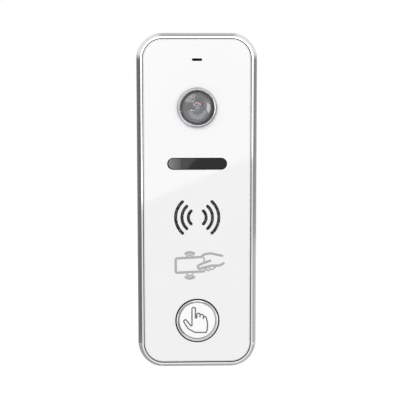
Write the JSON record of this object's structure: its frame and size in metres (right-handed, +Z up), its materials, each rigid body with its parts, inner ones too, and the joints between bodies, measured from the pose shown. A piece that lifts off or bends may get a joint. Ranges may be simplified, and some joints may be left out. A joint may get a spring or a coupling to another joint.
{
  "type": "video doorbell",
  "caption": "Slim wall-mounted video doorbell with a metal frame, white acrylic face, domed camera, infrared window, sound slots, card reader mark and a round call button.",
  "frame": {"origin": "on the wall plane, at the centre of the wall bracket's rectangle of screw holes, which is also the centre of the face seen from the front", "axes": "+Z up the wall along the panel's height, +X to the right seen from in front, +Y into the wall, so the face looks along -Y"},
  "size_m": [0.042, 0.0183, 0.118],
  "materials": {
    "frame_metal": "die casting, polished and bright plated, silver",
    "face_acrylic": "back-painted clear acrylic, polished edge",
    "trim_chrome": "bright plated",
    "clear_dome": "clear moulded polycarbonate",
    "lens_glass": "coated optical glass",
    "smoked_window": "smoked, passes infrared",
    "black_plastic": "moulded, matt",
    "black_rubber": "soft silicone",
    "cover_plastic": "moulded, fine spark texture",
    "zinc_steel": "pressed, zinc plated",
    "screw_steel": "bright zinc",
    "adhesive": "double-sided foam tape",
    "board_laminate": "green solder mask",
    "chip_epoxy": "moulded epoxy, tinned leads",
    "copper_wire": "enamelled copper",
    "lead_red": "insulated lead",
    "lead_white": "insulated lead",
    "ferrite": "sintered ferrite",
    "plated_steel": "nickel plated",
    "mesh_steel": "woven wire, blackened",
    "cone_film": "pressed film",
    "cap_plastic": "polished white",
    "nylon": "natural nylon",
    "gold_pin": "gold flashed",
    "spring_steel": "music wire",
    "switch_red": "moulded",
    "trimmer_blue": "moulded",
    "led_lens": "clear epoxy",
    "tantalum": "moulded",
    "flat_lead": "polyimide ribbon"
  },
  "bodies": {
    "panel": {"bezel_frame": "frame_metal", "face_plate": "face_acrylic", "plate_adhesive": "adhesive", "inner_chassis": "black_plastic", "rear_cover": "cover_plastic", "rear_seal": "black_rubber", "cover_screws": "screw_steel", "wall_bracket": "zinc_steel", "locking_screw": "screw_steel", "camera_ring": "trim_chrome", "ring_nut": "plated_steel", "camera_dome": "clear_dome", "dome_gasket": "black_rubber", "lens_barrel": "black_plastic", "lens_front_glass": "lens_glass", "lens_rear_glass": "lens_glass", "lens_holder": "black_plastic", "holder_screws": "screw_steel", "ir_cut_filter": "lens_glass", "image_sensor": "chip_epoxy", "camera_board": "board_laminate", "camera_screws": "screw_steel", "flat_cable": "flat_lead", "cable_latches": "nylon", "ir_window": "smoked_window", "ir_leds": "led_lens", "light_sensor": "led_lens", "speaker_mesh": "mesh_steel", "speaker_gasket": "black_rubber", "speaker_basket": "plated_steel", "speaker_cone": "cone_film", "speaker_magnet": "plated_steel", "speaker_leads": "lead_red", "mic_boot": "black_rubber", "mic_capsule": "plated_steel", "mic_leads": "lead_white", "card_coil": "copper_wire", "button_ring": "trim_chrome", "button_seal": "black_rubber", "button_spring": "spring_steel", "switch_body": "black_plastic", "button_leds": "led_lens", "main_board": "board_laminate", "board_screws": "screw_steel", "controller_chip": "chip_epoxy", "video_chip": "chip_epoxy", "audio_amplifier": "chip_epoxy", "lock_driver": "chip_epoxy", "power_inductor": "ferrite", "tantalum_capacitors": "tantalum", "trimmer_body": "trimmer_blue", "socket_shell": "nylon", "socket_pins": "gold_pin"},
    "button": {"button_cap": "cap_plastic"},
    "plunger": {"switch_plunger": "switch_red"},
    "volume_rotor": {"trimmer_rotor": "nylon"}
  },
  "joints": [
    {"name": "button_press", "type": "slide", "parent": "panel", "child": "button", "axis": [0, 1, 0], "range_m": [0, 0.0004], "stiffness_N_per_m": 2500, "springref_m": -0.0004, "deforming": ["button_spring"]},
    {"name": "plunger_press", "type": "slide", "parent": "panel", "child": "plunger", "axis": [0, 1, 0], "range_m": [0, 0.0004]},
    {"name": "volume_turn", "type": "hinge", "parent": "panel", "child": "volume_rotor", "pos_m": [0.0136, -0.004, 0.008], "axis": [0, 1, 0], "range_deg": [-105, 105]}
  ],
  "couplings": [
    {"joint": "plunger_press", "follows": "button_press", "ratio": 1}
  ]
}
